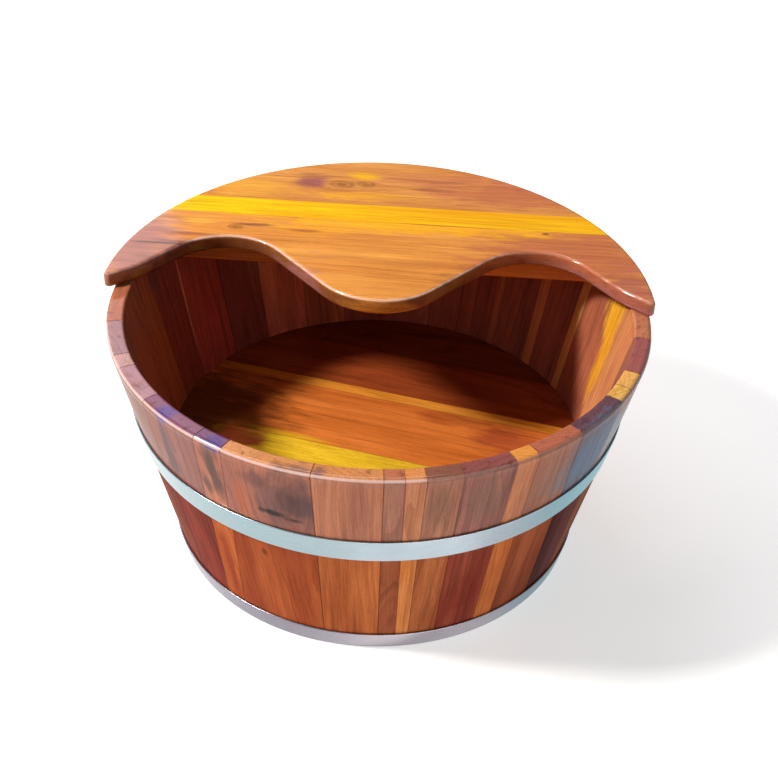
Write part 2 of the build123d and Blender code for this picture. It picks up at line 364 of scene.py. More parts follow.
def lay_stains_and_painted_light(tree, paint, spot, ragged, stains_and_painted_light):
    """Stains and patches of painted light and shade are (spot, width, length, colour, strength), and a later one lies
    over an earlier one.
    """
    for point, wide, long, code, strength in stains_and_painted_light:
        near = add(tree, "VectorMath SUBTRACT", spot, point)
        oval = add(tree, "VectorMath MULTIPLY", near, (1 / stain_depth, 1 / wide, 1 / long))
        reach = add(tree, "Math ADD", add(tree, "VectorMath LENGTH", oval), ragged)
        paint = laid_over(tree, paint, code, (reach, 0.3, 1.15, strength, 0.0))
    return paint


print("stains go", stain_depth, "mm deep")


# %% Rings, streaks, knots, fibres and pores
def figured(tree, paint, dark, late, patterns, ragged, knots):
    """knots are (reach, darkness). Also gives the pores, for the relief of the surface."""
    streaks = add(tree, "MapRange", patterns["streaks"], 0.52, 0.8, 0.0, 0.6, **smooth)
    depth = add(tree, "Math MAXIMUM", add(tree, "Math MULTIPLY", late, 0.4), streaks)
    soaked = add(tree, "Mix", 1.0, paint, dark, blend_type="MULTIPLY", **rgb)
    paint = add(tree, "Mix", depth, paint, add(tree, "Mix", 0.55, dark, soaked, **rgb), **rgb)
    for reach, darkness in knots:
        reach = add(tree, "Math MULTIPLY_ADD", ragged, 0.9, reach)
        own_rings = add(tree, "Math SINE", add(tree, "Math MULTIPLY", reach, 9.0))
        paint = laid_over(tree, paint, "4A2014", (reach, 0.6, 1.2, darkness, 0.0), (own_rings, -1.0, 1.0, 0.55, 1.0))
    lit = add(tree, "MapRange", patterns["fibre"], 0.25, 0.75, **smooth)
    shade = add(tree, "Mix", lit, (0.72, 0.68, 0.64, 1), (1.0, 1.0, 1.0, 1), **rgb)
    paint = add(tree, "Mix", 1.0, paint, shade, blend_type="MULTIPLY", **rgb)
    pores = add(tree, "MapRange", patterns["pores"], 0.6, 0.74, **smooth)
    return add(tree, "Mix", add(tree, "Math MULTIPLY", pores, 0.4), paint, dark, **rgb), pores


print("figure: streaks and rings, then knots, then fibres and pores")

# %% Dirt in the joints
# How far from a joint it starts to fade, and ends
dirt_from, dirt_to = 0.1, 0.7


def dirty_joints(tree, paint, spot, edge_width, edge_lines, dirt):
    """A joint lies at both ends of the attribute across, which spans edge_width, and at lines across the board."""
    gaps = []
    if edge_width:
        side = add(tree, "Attribute", attribute_name="across").outputs["Fac"]
        nearest = add(tree, "Math MINIMUM", side, add(tree, "Math SUBTRACT", 1.0, side))
        gaps.append(add(tree, "Math MULTIPLY", nearest, edge_width))
    across = add(tree, "SeparateXYZ", spot).outputs["Y"]
    gaps += [add(tree, "Math ABSOLUTE", add(tree, "Math SUBTRACT", across, line)) for line in edge_lines]
    for gap in gaps:
        paint = laid_over(tree, paint, "2A100A", (gap, dirt_from, dirt_to, dirt, 0.0))
    return paint


print("dirt reaches", dirt_to, "mm to each side of a joint")

# %% [markdown]
# On top lies a thick clear varnish. It is the shader's coat: smooth, with a slight ripple of its own. The wood under
# it keeps a fine relief of fibres and pores. On the wall the varnish is thin below the upper hoop and thickest on
# the rim, and there a pale line along the outer edge is a painted highlight.

# %% Varnish on the wall
varnish = 0.85


def rim_and_coat(tree, paint, up, outwards, height, painted_glint):
    """The painted highlight along the rim's outer edge, and how thick the varnish is from foot to rim."""
    at_rim = add(tree, "MapRange", up, height - 8.0, height - 3.0, 0.0, 0.45 * varnish, **smooth)
    on_band = add(tree, "MapRange", up, band_from, band_to, 0.1 * varnish, 0.42 * varnish, **smooth)
    outer_edge = add(tree, "Math ADD", up, outwards)
    paint = laid_over(tree, paint, glint_colour, (outer_edge, height - 3.0, height - 2.2, 0.0, painted_glint))
    return paint, add(tree, "Math ADD", at_rim, on_band)


print("the coat is", varnish, "on boards, and up to", round(0.87 * varnish, 2), "on the rim of the wall")


# %% Varnished wood
def varnished_wood(name, place, tones, pith=(90, 25), rings=3.2, seed=0.0, figure=1.0, end_tone=None, sap=None,
                   stains_and_painted_light=(), knots=(), edge_width=None, edge_lines=(), joint_dirt=0.3, edge_tone=None, shell=None,
                   painted_haze=0.0, painted_glint=0.0):
    """Planed hardwood under gloss varnish. tones: light, middle and dark colour. Lengths in millimetres.

    Stains, and patches of painted light and shade, are (spot, width, length, colour, strength) and knots (spot, size,
    darkness), each at a spot in the room.
    A knot goes right through. figure is how strongly the rings wander, and painted_glint how strong the painted
    highlight on an upper edge is.
    shell is given for a stave: foot radius, rim radius and height of the wall.
    """
    material, tree = new_material(name)
    light, middle, dark = tones
    origin, turn = place
    to_board = turn.to_matrix().transposed()
    stains_and_painted_light, knots = ([(to_board @ (Vector(point) * MM - origin) / MM, *rest) for point, *rest in marks]
                     for marks in (stains_and_painted_light, knots))
    given = add(tree, "TexCoord").outputs
    spot = add(tree, "Mapping", given["Object"], origin, turn, (MM, MM, MM), vector_type="TEXTURE")

    flow, patterns, reaches = grain_patterns(tree, spot, seed, knots)
    drift = add(tree, "VectorMath MULTIPLY", patterns["drift"].outputs["Color"], (12 * figure, 12 * figure, 0))
    bent = add(tree, "VectorMath ADD", flow, drift)
    ragged = add(tree, "Math MULTIPLY", add(tree, "Math SUBTRACT", patterns["ragged"], 0.5), 1.5)
    paint = ground_colour(tree, light, middle, patterns, bent, sap)
    if shell:
        up, outwards = place_on_shell(tree, given["Object"], shell)
        paint = veils_of_painted_light(tree, paint, up, outwards, painted_haze)
    paint = toned_by_face(tree, paint, given["Normal"], end_tone, edge_tone, 0.0 if shell else painted_glint)
    paint = lay_stains_and_painted_light(tree, paint, spot, ragged, stains_and_painted_light)
    knots = [(reach, darkness) for reach, (_, _, darkness) in zip(reaches, knots)]
    late = late_wood(tree, bent, pith, rings)
    paint, pores = figured(tree, paint, colour(dark), late, patterns, ragged, knots)
    paint = dirty_joints(tree, paint, spot, edge_width, edge_lines, joint_dirt)
    coat = varnish
    if shell:
        paint, coat = rim_and_coat(tree, paint, up, outwards, shell[2], painted_glint)

    relief = add(tree, "Math SUBTRACT", patterns["fibre"], pores)
    surface = add(tree, "BsdfPrincipled", Base_Color=paint, Roughness=0.45, IOR=1.5, Specular_IOR_Level=0.0,
                  Normal=add(tree, "Bump", Height=relief, Distance=0.06 * MM, Strength=0.6),
                  Coat_Weight=coat, Coat_Roughness=0.09, Coat_IOR=1.5, Coat_Tint=colour("FFF4E8"),
                  Coat_Normal=add(tree, "Bump", Height=patterns["ripple"], Distance=0.25 * MM, Strength=0.5))
    add(tree, "OutputMaterial", surface)
    return material


print("one function finishes every board, from a stave to a tenon")

# %% [markdown]
# ## Rounded outlines
#
# A maker takes the sharp corner off every edge. Drawn as a list of corners, each with the size of its round, an
# outline stays as easy to read as a drawing. The same function draws the section of a stave, the section of a hoop
# and the wave of the lid. A short straight piece is kept beside each round, so that the flat next to it stays flat
# when the light runs over it.

# %% Rounded outline
def rounded_outline(corners, steps=6, hold=0.0):
    """Points of a closed outline from (x, y, round) corners."""
    points = []
    count = len(corners)
    for n, (x, y, size) in enumerate(corners):
        here = Vector((x, y))
        if not size:
            points.append(here)
            continue
        before = (Vector(corners[n - 1][:2]) - here).normalized()
        after = (Vector(corners[(n + 1) % count][:2]) - here).normalized()
        half_angle = before.angle(after) / 2
        run = size / tan(half_angle)
        centre = here + (before + after).normalized() * (size / sin(half_angle))
        first = here + before * run - centre
        turn = (pi - 2 * half_angle) * (1 if before.cross(after) < 0 else -1)
        if hold:
            points.append(here + before * (run + hold))
        for step in range(steps + 1):
            angle = turn * step / steps
            points.append(centre + Vector((first.x * cos(angle) - first.y * sin(angle),
                                           first.x * sin(angle) + first.y * cos(angle))))
        if hold:
            points.append(here + after * (run + hold))
    return points


print("outline of a test square:", len(rounded_outline([(0, 0, 1), (9, 0, 1), (9, 9, 1), (0, 9, 1)])), "points")

# %% [markdown]
# ## Staves
#
# A stave is a tapered board whose two long edges are planed to the angle of the ring. The makers of this tub used
# whatever widths they had, from 11 to 65 mm. Boards of unequal taper meet at 15 of the joints, so these lean. All
# staves have one section: a thick wall leaning outwards, a rounded rim and the groove for the floor.

# %% Sizes of the shell
tub_height = 196.0
rim_radius = 200.0
foot_radius = 152.5
wall = 13.5
floor_bottom, floor_top = 60.0, 76.0
groove_depth = 4.5
groove_play = 0.3
first_joint = -172.0
widths = (44, 16, 42, 54, 23, 65, 48, 14, 14, 25, 38, 17, 39, 47, 16, 20, 46,
          60, 57, 11, 39, 12, 39, 29, 47, 46, 45, 41, 46, 44, 51, 40, 31, 51)
leans = {3: -2.5, 4: -6.5, 5: -7.0, 6: -0.6, 8: 0.8, 11: 0.6, 12: 1.4, 13: 3.5,
         18: -3.0, 19: -0.7, 20: -0.5, 21: -1.0, 22: -1.0, 23: -1.5, 24: -1.0}


def wall_radius(height):
    return foot_radius + (rim_radius - foot_radius) * height / tub_height


joints = []
turn = first_joint
for number, width in enumerate(widths):
    joints.append((turn, turn + leans.get(number, 0)))
    turn += 360 * width / sum(widths)
joints.append((joints[0][0] + 360, joints[0][1] + 360))
print(len(widths), "staves,", round(2 * pi * rim_radius * min(widths) / sum(widths)), "to",
      round(2 * pi * rim_radius * max(widths) / sum(widths)), "mm wide at the rim")

# %% [markdown]
# One section on a ring is a rule, so one Geometry Nodes tree makes all the staves. It sweeps the section along a
# straight unit line, then bends that line round the tub: a point's share along the line becomes a turn between the
# stave's two joints. Both joints may have another turn at the foot than at the rim. The same tree can lift the far
# end of the sweep, which the hoops need further down. Curve to Mesh makes this tube inside out, so it is flipped.

# %% Parts that trees share
def new_tree(name, inputs):
    """A Geometry Nodes tree with named inputs, (label, kind, default), and the identifier of each of them."""
    tree = bpy.data.node_groups.new(name, "GeometryNodeTree")
    identifiers = {}
    for label, kind, default in inputs:
        socket = tree.interface.new_socket(label, in_out="INPUT", socket_type="NodeSocket" + kind)
        identifiers[label] = socket.identifier
        if default is not None:
            socket.default_value = default
    tree.interface.new_socket("Geometry", in_out="OUTPUT", socket_type="NodeSocketGeometry")
    return tree, identifiers


def drawn_out(tree, outline, count, caps):
    """The outline drawn out along a straight line from 0 to 1 on Y, and the X, Y and Z of its points."""
    section = add(tree, "MeshToCurve", outline)
    line = add(tree, "CurvePrimitiveLine", Start=(0, 0, 0), End=(0, 1, 0))
    rail = add(tree, "ResampleCurve", line, Count=count)
    tube = add(tree, "CurveToMesh", rail, Profile_Curve=section, Fill_Caps=caps)
    return tube, add(tree, "SeparateXYZ", add(tree, "InputPosition")).outputs


def round_axis(tree, radius, turn, height):
    x, y = [add(tree, "Math MULTIPLY", radius, add(tree, "Math " + wave, turn)) for wave in ("COSINE", "SINE")]
    return add(tree, "CombineXYZ", x, y, height)


print("a tree can draw an outline out, and bend it round the axis")

# %% The sweep tree
sweep, sweep_inputs = new_tree("sweep_round_the_tub", (
    ("Geometry", "Geometry", None), ("Columns", "Int", 8), ("First joint at rim", "Float", 0.0),
    ("First joint lean", "Float", 0.0), ("Second joint at rim", "Float", 1.0), ("Second joint lean", "Float", 0.0),
    ("Height", "Float", tub_height * MM), ("Rim radius", "Float", rim_radius * MM),
    ("Foot radius", "Float", foot_radius * MM), ("Lift", "Float", 0.0), ("Lift starts", "Float", 0.8),
    ("Lift ends", "Float", 0.9), ("Material", "Material", None)))
given = add(sweep, "NodeGroupInput").outputs
tube, point = drawn_out(sweep, given["Geometry"], given["Columns"], True)
bar = add(sweep, "FlipFaces", tube)
marked = add(sweep, "StoreNamedAttribute", bar, Name="across", Value=point["Y"], data_type="FLOAT", domain="POINT")

# A leaning joint is a flat cut, so its turn changes a little faster towards the foot
up_share = add(sweep, "Math DIVIDE", point["Z"], given["Height"])
widening = add(sweep, "Math SUBTRACT", given["Rim radius"], given["Foot radius"])
radius_here = add(sweep, "Math MULTIPLY_ADD", widening, up_share, given["Foot radius"])
down_share = add(sweep, "Math SUBTRACT", 1.0, up_share)
lean_share = add(sweep, "Math DIVIDE", add(sweep, "Math MULTIPLY", down_share, given["Foot radius"]), radius_here)
first_turn, second_turn = [
    add(sweep, "Math MULTIPLY_ADD", given[joint + " joint lean"], lean_share, given[joint + " joint at rim"])
    for joint in ("First", "Second")]
between = add(sweep, "Math SUBTRACT", second_turn, first_turn)
turn_here = add(sweep, "Math MULTIPLY_ADD", between, point["Y"], first_turn)
lift = add(sweep, "MapRange", point["Y"], given["Lift starts"], given["Lift ends"], 0.0, given["Lift"], **smooth)
bent = round_axis(sweep, add(sweep, "Math ADD", point["X"], lift), turn_here, point["Z"])
placed = add(sweep, "SetPosition", marked, Position=bent)
coated = add(sweep, "SetMaterial", placed, Material=given["Material"])
add(sweep, "NodeGroupOutput", add(sweep, "RealizeInstances", coated))
print("sweep tree:", len(sweep.nodes), "nodes")

# %% [markdown]
# The tree starts from a mesh of loose edges, the section, and its result is kept as a plain mesh. An edge keeps its
# crisp look where its two faces meet at a sharp angle, and everything else is shaded smooth. The finished piece is
# an object at the origin. It stands for its CAD nodes, and it rides on the body that they belong to.

# %% Run a tree and keep its result as a plain mesh
crisp_above = 26.0


def shaded(mesh, angle=crisp_above):
    mesh.polygons.foreach_set("use_smooth", [True] * len(mesh.polygons))
    mesh.set_sharp_from_angle(angle=radians(angle))
    return mesh


def settled(name, mesh, tree, identifiers, values, edge_round=0.0, crisp=crisp_above):
    """The mesh that a tree makes from a start mesh. Its inputs are set by identifier."""
    holder = bpy.data.objects.new(name + "_start", mesh)
    bpy.context.scene.collection.objects.link(holder)
    modifier = holder.modifiers.new("tree", "NODES")
    modifier.node_group = tree
    for label, value in values.items():
        modifier[identifiers[label]] = value
    if edge_round:
        ease = holder.modifiers.new("eased_edges", "BEVEL")
        ease.width = edge_round * MM
        ease.segments = 1
        ease.limit_method = "ANGLE"
        ease.angle_limit = radians(50)
    evaluated = holder.evaluated_get(bpy.context.evaluated_depsgraph_get())
    result = bpy.data.meshes.new_from_object(evaluated)
    result.name = name
    holder.modifiers.clear()
    bpy.data.objects.remove(holder)
    return shaded(result, crisp)


print("edges stay crisp above", crisp_above, "degrees")


# %% The start mesh, and the finished piece
def outline_mesh(name, points, closed=True):
    """A line of edges for a tree: X is the radius and Y the height turned down, as the sweep takes it."""
    count = len(points)
    mesh = bpy.data.meshes.new(name)
    mesh.from_pydata([(r * MM, -h * MM, 0) for r, h in points],
                     [(n, (n + 1) % count) for n in range(count if closed else count - 1)], [])
    return mesh


def add_piece(name, mesh, material, body, slot, *nodes):
    """One finished piece: a plain mesh at the origin that stands for its CAD nodes and rides on a body."""
    piece = bpy.data.objects.new(name, mesh)
    bpy.context.scene.collection.objects.link(piece)
    mesh.materials.clear()
    mesh.materials.append(material)
    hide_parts(*nodes)
    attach(piece, body)
    return piece


print("the CAD has", len(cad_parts), "nodes to stand for")

# %% [markdown]
# Each stave has its own tones, looked up one by one: orange, red-brown, grey-brown and dark purple boards stand next
# to each other with no order at all, which is the charm of the real tub.

# %% Tones of the staves
# light, middle and dark of the long grain, then the end grain on the rim
tones = {
    1: ("965034", "7A3C26", "482014", "A88492"), 2: ("8C4026", "743020", "441A12", "CCA4A4"),
    3: ("8A3A24", "702E1E", "42181A", "B68EA0"), 4: ("8A3828", "702C20", "40161A", "8A5A7E"),
    5: ("C46C38", "A84E28", "5A2614", "6C4A80"), 6: ("B45C32", "964222", "582414", "E2A46C"),
    7: ("C4703E", "A4522A", "64301A", "DC9C64"), 8: ("A8603E", "883F28", "502418", "CA8060"),
    9: ("E09254", "C47038", "7C4226", "E29C60"), 10: ("BC7042", "9A502C", "582E1C", "8A5C50"),
    11: ("A05038", "803424", "481814", "94585A"), 12: ("CC7840", "AE5A2E", "6A3018", "F0A850"),
    13: ("A65A38", "884024", "502416", "C0745C"), 14: ("6A3430", "4A221E", "281014", "705060"),
    15: ("9C5A34", "7C3E26", "4C2418", "FFCE6C"), 16: ("8C5038", "6C3828", "42201A", "FFC870"),
    17: ("8E4C40", "6E3830", "40201C", "AC6668"), 18: ("E89C54", "CC763E", "824224", "C08068"),
    19: ("BC6230", "9A4622", "5A2612", "B47058"), 20: ("FFC468", "EEA24C", "A86830", "E0A468"),
    21: ("BC6644", "984C34", "5A2818", "B06C58"), 22: ("E89C50", "C87C3E", "864A24", "D89458"),
    23: ("BC6A48", "964E36", "562218", "A86050"), 24: ("C26C4A", "9C4E36", "5A281C", "B46C54"),
    25: ("C26C4A", "9C4E36", "5A281C", "B46C54"), 26: ("CC7A52", "A85A3E", "663224", "C07C5C"),
    27: ("B06048", "8E4834", "54281E", "A4644C"), 28: ("DC8848", "B86638", "743C20", "D08C58"),
    29: ("BC644A", "964836", "5A281E", "A86450"), 30: ("9C4C3C", "78342A", "461A16", "905448"),
    31: ("B4583E", "8C402E", "52201A", "A86050"), 32: ("A0523E", "7A382C", "4A1E18", "98584C"),
    33: ("C4703C", "9C502C", "60301C", "C08058"), 34: ("BC6840", "944A2C", "5A2A1A", "B47054"),
}
print(len(tones), "sets of tones")

# %% [markdown]
# Some marks single out a stave: a purple bruise, a whorl, a split, a knot. Others are painted light: a streak of
# painted light that crosses a joint on the inside, painted highlights inside two staves at the back, and a painted
# blue-grey reflection on the staves at the right. All are stains and knots at places on the wall. A place is a turn
# round the tub, a height, and how deep in the wall it lies.

# %% Marks on the staves
# turn, height and depth of the spot, then width, length, colour and strength
# A streak of painted light on the inside of staves 18 and 19, widest high up under the lid
painted_light_streak = ((9.4, 184, wall, 19, 52, "FFC034", 0.95), (7.2, 140, wall, 12, 48, "FAB42C", 0.9))
stave_stains_and_painted_light = {
    1: ((-166, 165, 0, 40, 40, "8C6848", 0.6),),
    3: ((-149, 172, 0, 24, 34, "7A4622", 0.85),),
    4: ((-141, 176, 0, 8, 30, "8A4A28", 0.8), (-138, 158, 0, 7, 34, "50343A", 0.8),
        (-137, 196, 6, 9, 6, "5E4CA0", 0.85)),
    5: ((-124, 172, 0, 8, 40, "3E2E30", 0.85), (-127, 150, 0, 5, 20, "4E3836", 0.8),
        (-128, 60, 0, 5, 60, "8C3018", 0.7), (-123, 196, 6, 9, 6, "503C94", 0.8)),
    6: ((-107, 160, 0, 34, 44, "6C4A48", 0.9), (-105, 160, 0, 16, 16, "5A4248", 0.6),
        (-114, 178, 0, 17, 9, "6A443C", 0.6), (-111, 146, 0, 13, 3.4, "180C0C", 0.95),
        (-106.5, 143, 0, 10, 3.4, "201010", 0.85), (-118, 150, 0, 7, 26, "B85C30", 0.6),
        (-110, 60, 0, 1.5, 30, "7A3418", 0.6), (-104, 197, 4, 9, 4, "96706C", 0.7)),
    7: ((-101, 197, 4, 7, 4, "7C5C68", 0.7),),
    10: ((-77, 170, 0, 10, 30, "7A5A48", 0.6),),
    11: ((-68, 165, 0, 18, 30, "82604E", 0.6), (-67, 50, 0, 16, 40, "7C2C22", 0.6)),
    # From the joint of staves 13 and 14 to stave 16 the blue-grey patches are a painted reflection
    13: ((-51, 165, 0, 18, 30, "8C7468", 0.4), (-47, 160, 0, 12, 34, "767C8A", 0.6)),
    14: ((-39, 160, 0, 60, 44, "5C7A9C", 0.86),),
    15: ((-30, 157, 0, 44, 35, "8CA2B4", 0.85),),
    16: ((-25, 157, 0, 44, 36, "94A6B0", 0.85),),
    18: painted_light_streak,
    19: painted_light_streak,
    24: ((54, 120, wall, 4, 90, "D89064", 0.6),),
    # The pale marks inside staves 29 and 31 are painted highlights, the second along a joint
    29: ((122.5, 130, wall, 11, 90, "FFB090", 0.6),),
    31: ((152.7, 130, wall, 1.5, 90, "F4A894", 0.8),),
}
# turn, height and depth of the spot, then size and darkness
stave_knots = {6: ((-106.5, 164, 0, 12, 0.4), (-115.5, 96, 0, 2.2, 0.8)), 24: ((56, 150, 0, 2.5, 0.8),)}
# The staves at the back left are painted paler inside than their outside tones: painted fill light that lifts the
# shade there
painted_inside_lift = {29: "EC9078", 30: "98564E", 31: "C66050", 32: "A6523E", 33: "C46E44", 34: "BC6846"}
# How dark the dirt in a stave's joints is
stave_joint_dirt = {1: 0.1, 2: 0.1, 3: 0.1, 4: 0.15, 5: 0.15, 6: 0.5, 7: 0.5}


def on_wall(marks):
    """The marks with their spots in the room, in millimetres."""
    moved = []
    for turn, height, depth, *rest in marks:
        from_axis = wall_radius(height) - depth
        moved.append(((from_axis * cos(radians(turn)), from_axis * sin(radians(turn)), height), *rest))
    return tuple(moved)


# The count takes in the patches of painted light, shade and reflection
print(sum(len(marks) for marks in stave_stains_and_painted_light.values()), "stains on the wall")

# %% [markdown]
# Now the staves. The section is drawn once, and each stave's two joints, its tones and its marks do the rest. The
# pith, the rings and the tilt of the grain follow from its number, so that neighbours look cut from other trees.

# %% Section of a stave
groove_top = floor_top + groove_play
groove_back = wall_radius((floor_bottom + floor_top) / 2) - wall + groove_depth
outer_round, inner_round = 3.2, 1.8
stave_corners = [
    (wall_radius(0) - wall, 0.0, 0.0), (wall_radius(0), 0.0, 0.0), (rim_radius, tub_height, outer_round),
    (rim_radius - wall, tub_height, inner_round), (wall_radius(groove_top) - wall, groove_top, 0.0),
    (groove_back, groove_top, 0.0), (groove_back, floor_bottom, 0.0),
    (wall_radius(floor_bottom) - wall, floor_bottom, 0.0),
]
stave_outline = rounded_outline(stave_corners, steps=5, hold=0.8)
slope = atan2(rim_radius - foot_radius, tub_height)
print("the section has", len(stave_outline), "points, and the wall leans", round(slope, 3), "radians")

# %% Staves
stave_edge_round = 0.3
for number, (first, second) in enumerate(zip(joints, joints[1:]), start=1):
    name = f"stave_{number:02d}"
    middle_degrees = sum(first + second) / 4
    outwards = Vector((cos(radians(middle_degrees)), sin(radians(middle_degrees)), 0))
    grain = outwards * sin(slope) + Vector((0, 0, cos(slope)))
    middle = outwards * (wall_radius(tub_height / 2) - wall / 2) * MM + Vector((0, 0, tub_height / 2 * MM))
    marks = stave_stains_and_painted_light.get(number, ())
    if number in painted_inside_lift:
        marks = ((middle_degrees, 110, wall, 60, 90, painted_inside_lift[number], 0.9),) + marks
    # painted_haze is how strong the painted reflection haze on the band above the upper hoop is
    wood = varnished_wood(
        f"varnished_{name}", grain_frame(middle, grain, outwards, 1.5 * sin(number * 1.7), 1.0 * cos(number)),
        tones[number][:3], pith=(70 + 17 * (number * 7 % 6), 55 * sin(number * 2.4)), rings=2.4 + 0.5 * (number % 4),
        seed=number, end_tone=tones[number][3], figure=2.2 if number == 6 else 1.0, stains_and_painted_light=on_wall(marks),
        knots=on_wall(stave_knots.get(number, ())), joint_dirt=stave_joint_dirt.get(number, 0.25),
        edge_width=2 * pi * rim_radius * widths[number - 1] / sum(widths),
        # The painted highlight on the rim's outer edge is strong on staves 1 to 9, at the left, where the light
        # glints
        shell=(foot_radius, rim_radius, tub_height), painted_haze=0.13, painted_glint=0.9 if number < 10 else 0.2)
    values = {"Columns": max(3, ceil((second[0] - first[0]) / 2) + 1), "Material": wood}
    for label, (at_rim, at_foot) in (("First joint ", first), ("Second joint ", second)):
        values.update({label + "at rim": radians(at_rim), label + "lean": radians(at_foot - at_rim)})
    mesh = settled(name + "_wood", outline_mesh(name, stave_outline), sweep, sweep_inputs, values, stave_edge_round)
    add_piece(name + "_wood", mesh, wood, "tub", "stave_wood", name)
print("34 staves, each of about", len(mesh.polygons), "faces")

# %% [markdown]
# ## Hoops
#
# Each hoop is one flat steel strip, bent round the cone of the shell, with its end lapped over its start and two
# rivets through both layers. The sweep tree makes it as the smith does: the strip goes once round, and just before
# it meets its own start it climbs by its own thickness and runs on for the length of the lap. The strip is
# cold-rolled stainless steel: its reflections are soft and cloudy. A painted reflection tint shifts its colour round
# the tub, mauve-grey on the left and turquoise on the right, and the two strips carry their own painted reflection
# tints. The rolls leave level lines a few hundredths of a millimetre apart. These are too fine to show in the render,
# so they are drawn two thirds of a millimetre apart.

# %% Satin stainless steel
# Sizes of the patterns in millimetres: rolling lines, nine to the metre along the strip, and clouds, 22 to the metre
rolling = (1000 / 9, 1000 / 9, 2 / 3)
steel_cloud = 1000 / 22


def satin_steel(name, light, dark, left_reflection_tint, right_reflection_tint):
    """Cold-rolled stainless strip, with the colours of its clouds and of the painted reflection tint on its left and
    right side.
    """
    material, tree = new_material(name)
    given = add(tree, "TexCoord").outputs
    lines = add(tree, "VectorMath MULTIPLY", given["Object"], tuple(1 / (size * MM) for size in rolling))
    rolled = add(tree, "TexNoise", lines, Scale=1.0, Detail=3.0)
    clouds = add(tree, "TexNoise", given["Object"], Scale=1 / (steel_cloud * MM), Detail=3.0)
    to_right = add(tree, "SeparateXYZ", given["Normal"]).outputs["X"]
    tint = laid_over(tree, colour(dark), light, (clouds, 0.3, 0.7))
    # Painted reflection tints, set by which way the face turns: one towards the left, and one towards the right that
    # fades again at the far right
    tint = laid_over(tree, tint, left_reflection_tint, (to_right, -0.5, 0.3, 1.0, 0.0))
    reflection_starts = add(tree, "MapRange", to_right, 0.45, 0.85, 0.0, 0.95, **smooth)
    reflection_fades = add(tree, "MapRange", to_right, 0.84, 0.97, 0.95, 0.25, **smooth)
    tint = add(tree, "Mix", add(tree, "Math MINIMUM", reflection_starts, reflection_fades), tint, colour(right_reflection_tint), **rgb)
    tint = laid_over(tree, tint, "9AA2AA", (rolled, 0.5, 0.85, 0.0, 0.15))
    shine = add(tree, "MapRange", rolled, 0.3, 0.8, 0.24, 0.34, **smooth)
    relief = add(tree, "Bump", Height=rolled, Distance=0.02 * MM, Strength=0.3)
    surface = add(tree, "BsdfPrincipled", Base_Color=tint, Metallic=1.0, Roughness=shine, Normal=relief)
    add(tree, "OutputMaterial", surface)
    return material


# The two strips are the same steel. The difference between their tints, and their left and right tints, are painted
# reflections
upper_steel = satin_steel("satin_stainless_upper_strip", "BCCAD4", "ACBAC4", "8AA2A8", "5CB8C6")
lower_steel = satin_steel("satin_stainless_lower_strip", "BCB6BE", "ACA6AE", "7E7A86", "4A8696")
print("two strips of steel")

# %% Hoops
# lower edge, width, turn of the lap's middle and steel of each
hoops = {"upper_hoop": (109.5, 21.0, 97.0, upper_steel), "lower_hoop": (0.5, 15.5, 74.0, lower_steel)}
strip = 1.4
hoop_gap = 0.15
lap_length = 38.0
climb_from, climb_to = 0.05, 0.005  # radians before the start of the strip
inner_edge, outer_edge = 0.2, 0.6  # rounds of the strip's edges
metal_crisp = 40.0
for name, (bottom, width, lap_turn, steel) in hoops.items():
    top = bottom + width
    low, high = wall_radius(bottom) + hoop_gap, wall_radius(top) + hoop_gap
    corners = [(low, bottom, inner_edge), (low + strip, bottom, outer_edge),
               (high + strip, top, outer_edge), (high, top, inner_edge)]
    outline = outline_mesh(name, rounded_outline(corners, steps=3, hold=0.15))
    lap = lap_length / wall_radius(bottom)
    whole = 2 * pi + lap
    start = radians(lap_turn) - lap / 2
    values = {"Columns": 200, "First joint at rim": start, "Second joint at rim": start + whole, "Lift": strip * MM,
              "Lift starts": (2 * pi - climb_from) / whole, "Lift ends": (2 * pi - climb_to) / whole,
              "Material": steel}
    mesh = settled(name + "_strip", outline, sweep, sweep_inputs, values, crisp=metal_crisp)
    add_piece(name + "_strip", mesh, steel, "tub", "hoop_steel", name)
print("two hoops")

# %% [markdown]
# ## Rivets and screws
#
# A rivet and a screw are both turned shapes, so one Geometry Nodes tree makes both. It spins half an outline round
# the axis, cuts a cross recess if one is wanted, sets a copy on each point of a straight row, and leans each copy:
# outwards from the tub's middle for a rivet, straight up for a screw. The spun skin comes out inside out, as the
# sweep does, and is flipped once its doubles are merged.

# %% The fastener tree: a turned shape
fasteners, fastener_inputs = new_tree("fasteners_in_a_row", (
    ("Geometry", "Geometry", None), ("Sides", "Int", 32), ("Count", "Int", 2), ("First place", "Vector", None),
    ("Step", "Vector", None), ("Lean outwards", "Float", 0.0), ("Rise", "Float", 1.0),
    ("Cross recess", "Bool", False), ("Recess width", "Float", 3.2 * MM), ("Recess depth", "Float", 1.7 * MM),
    ("Material", "Material", None)))
given = add(fasteners, "NodeGroupInput").outputs
skin, point = drawn_out(fasteners, given["Geometry"], given["Sides"], False)
whole_turn = add(fasteners, "Math MULTIPLY", point["Y"], 2 * pi)
spun = add(fasteners, "SetPosition", skin, Position=round_axis(fasteners, point["X"], whole_turn, point["Z"]))
closed = add(fasteners, "MergeByDistance", spun, Distance=0.002 * MM)
solid = add(fasteners, "FlipFaces", closed)
print("a turned shape:", len(fasteners.nodes), "nodes")

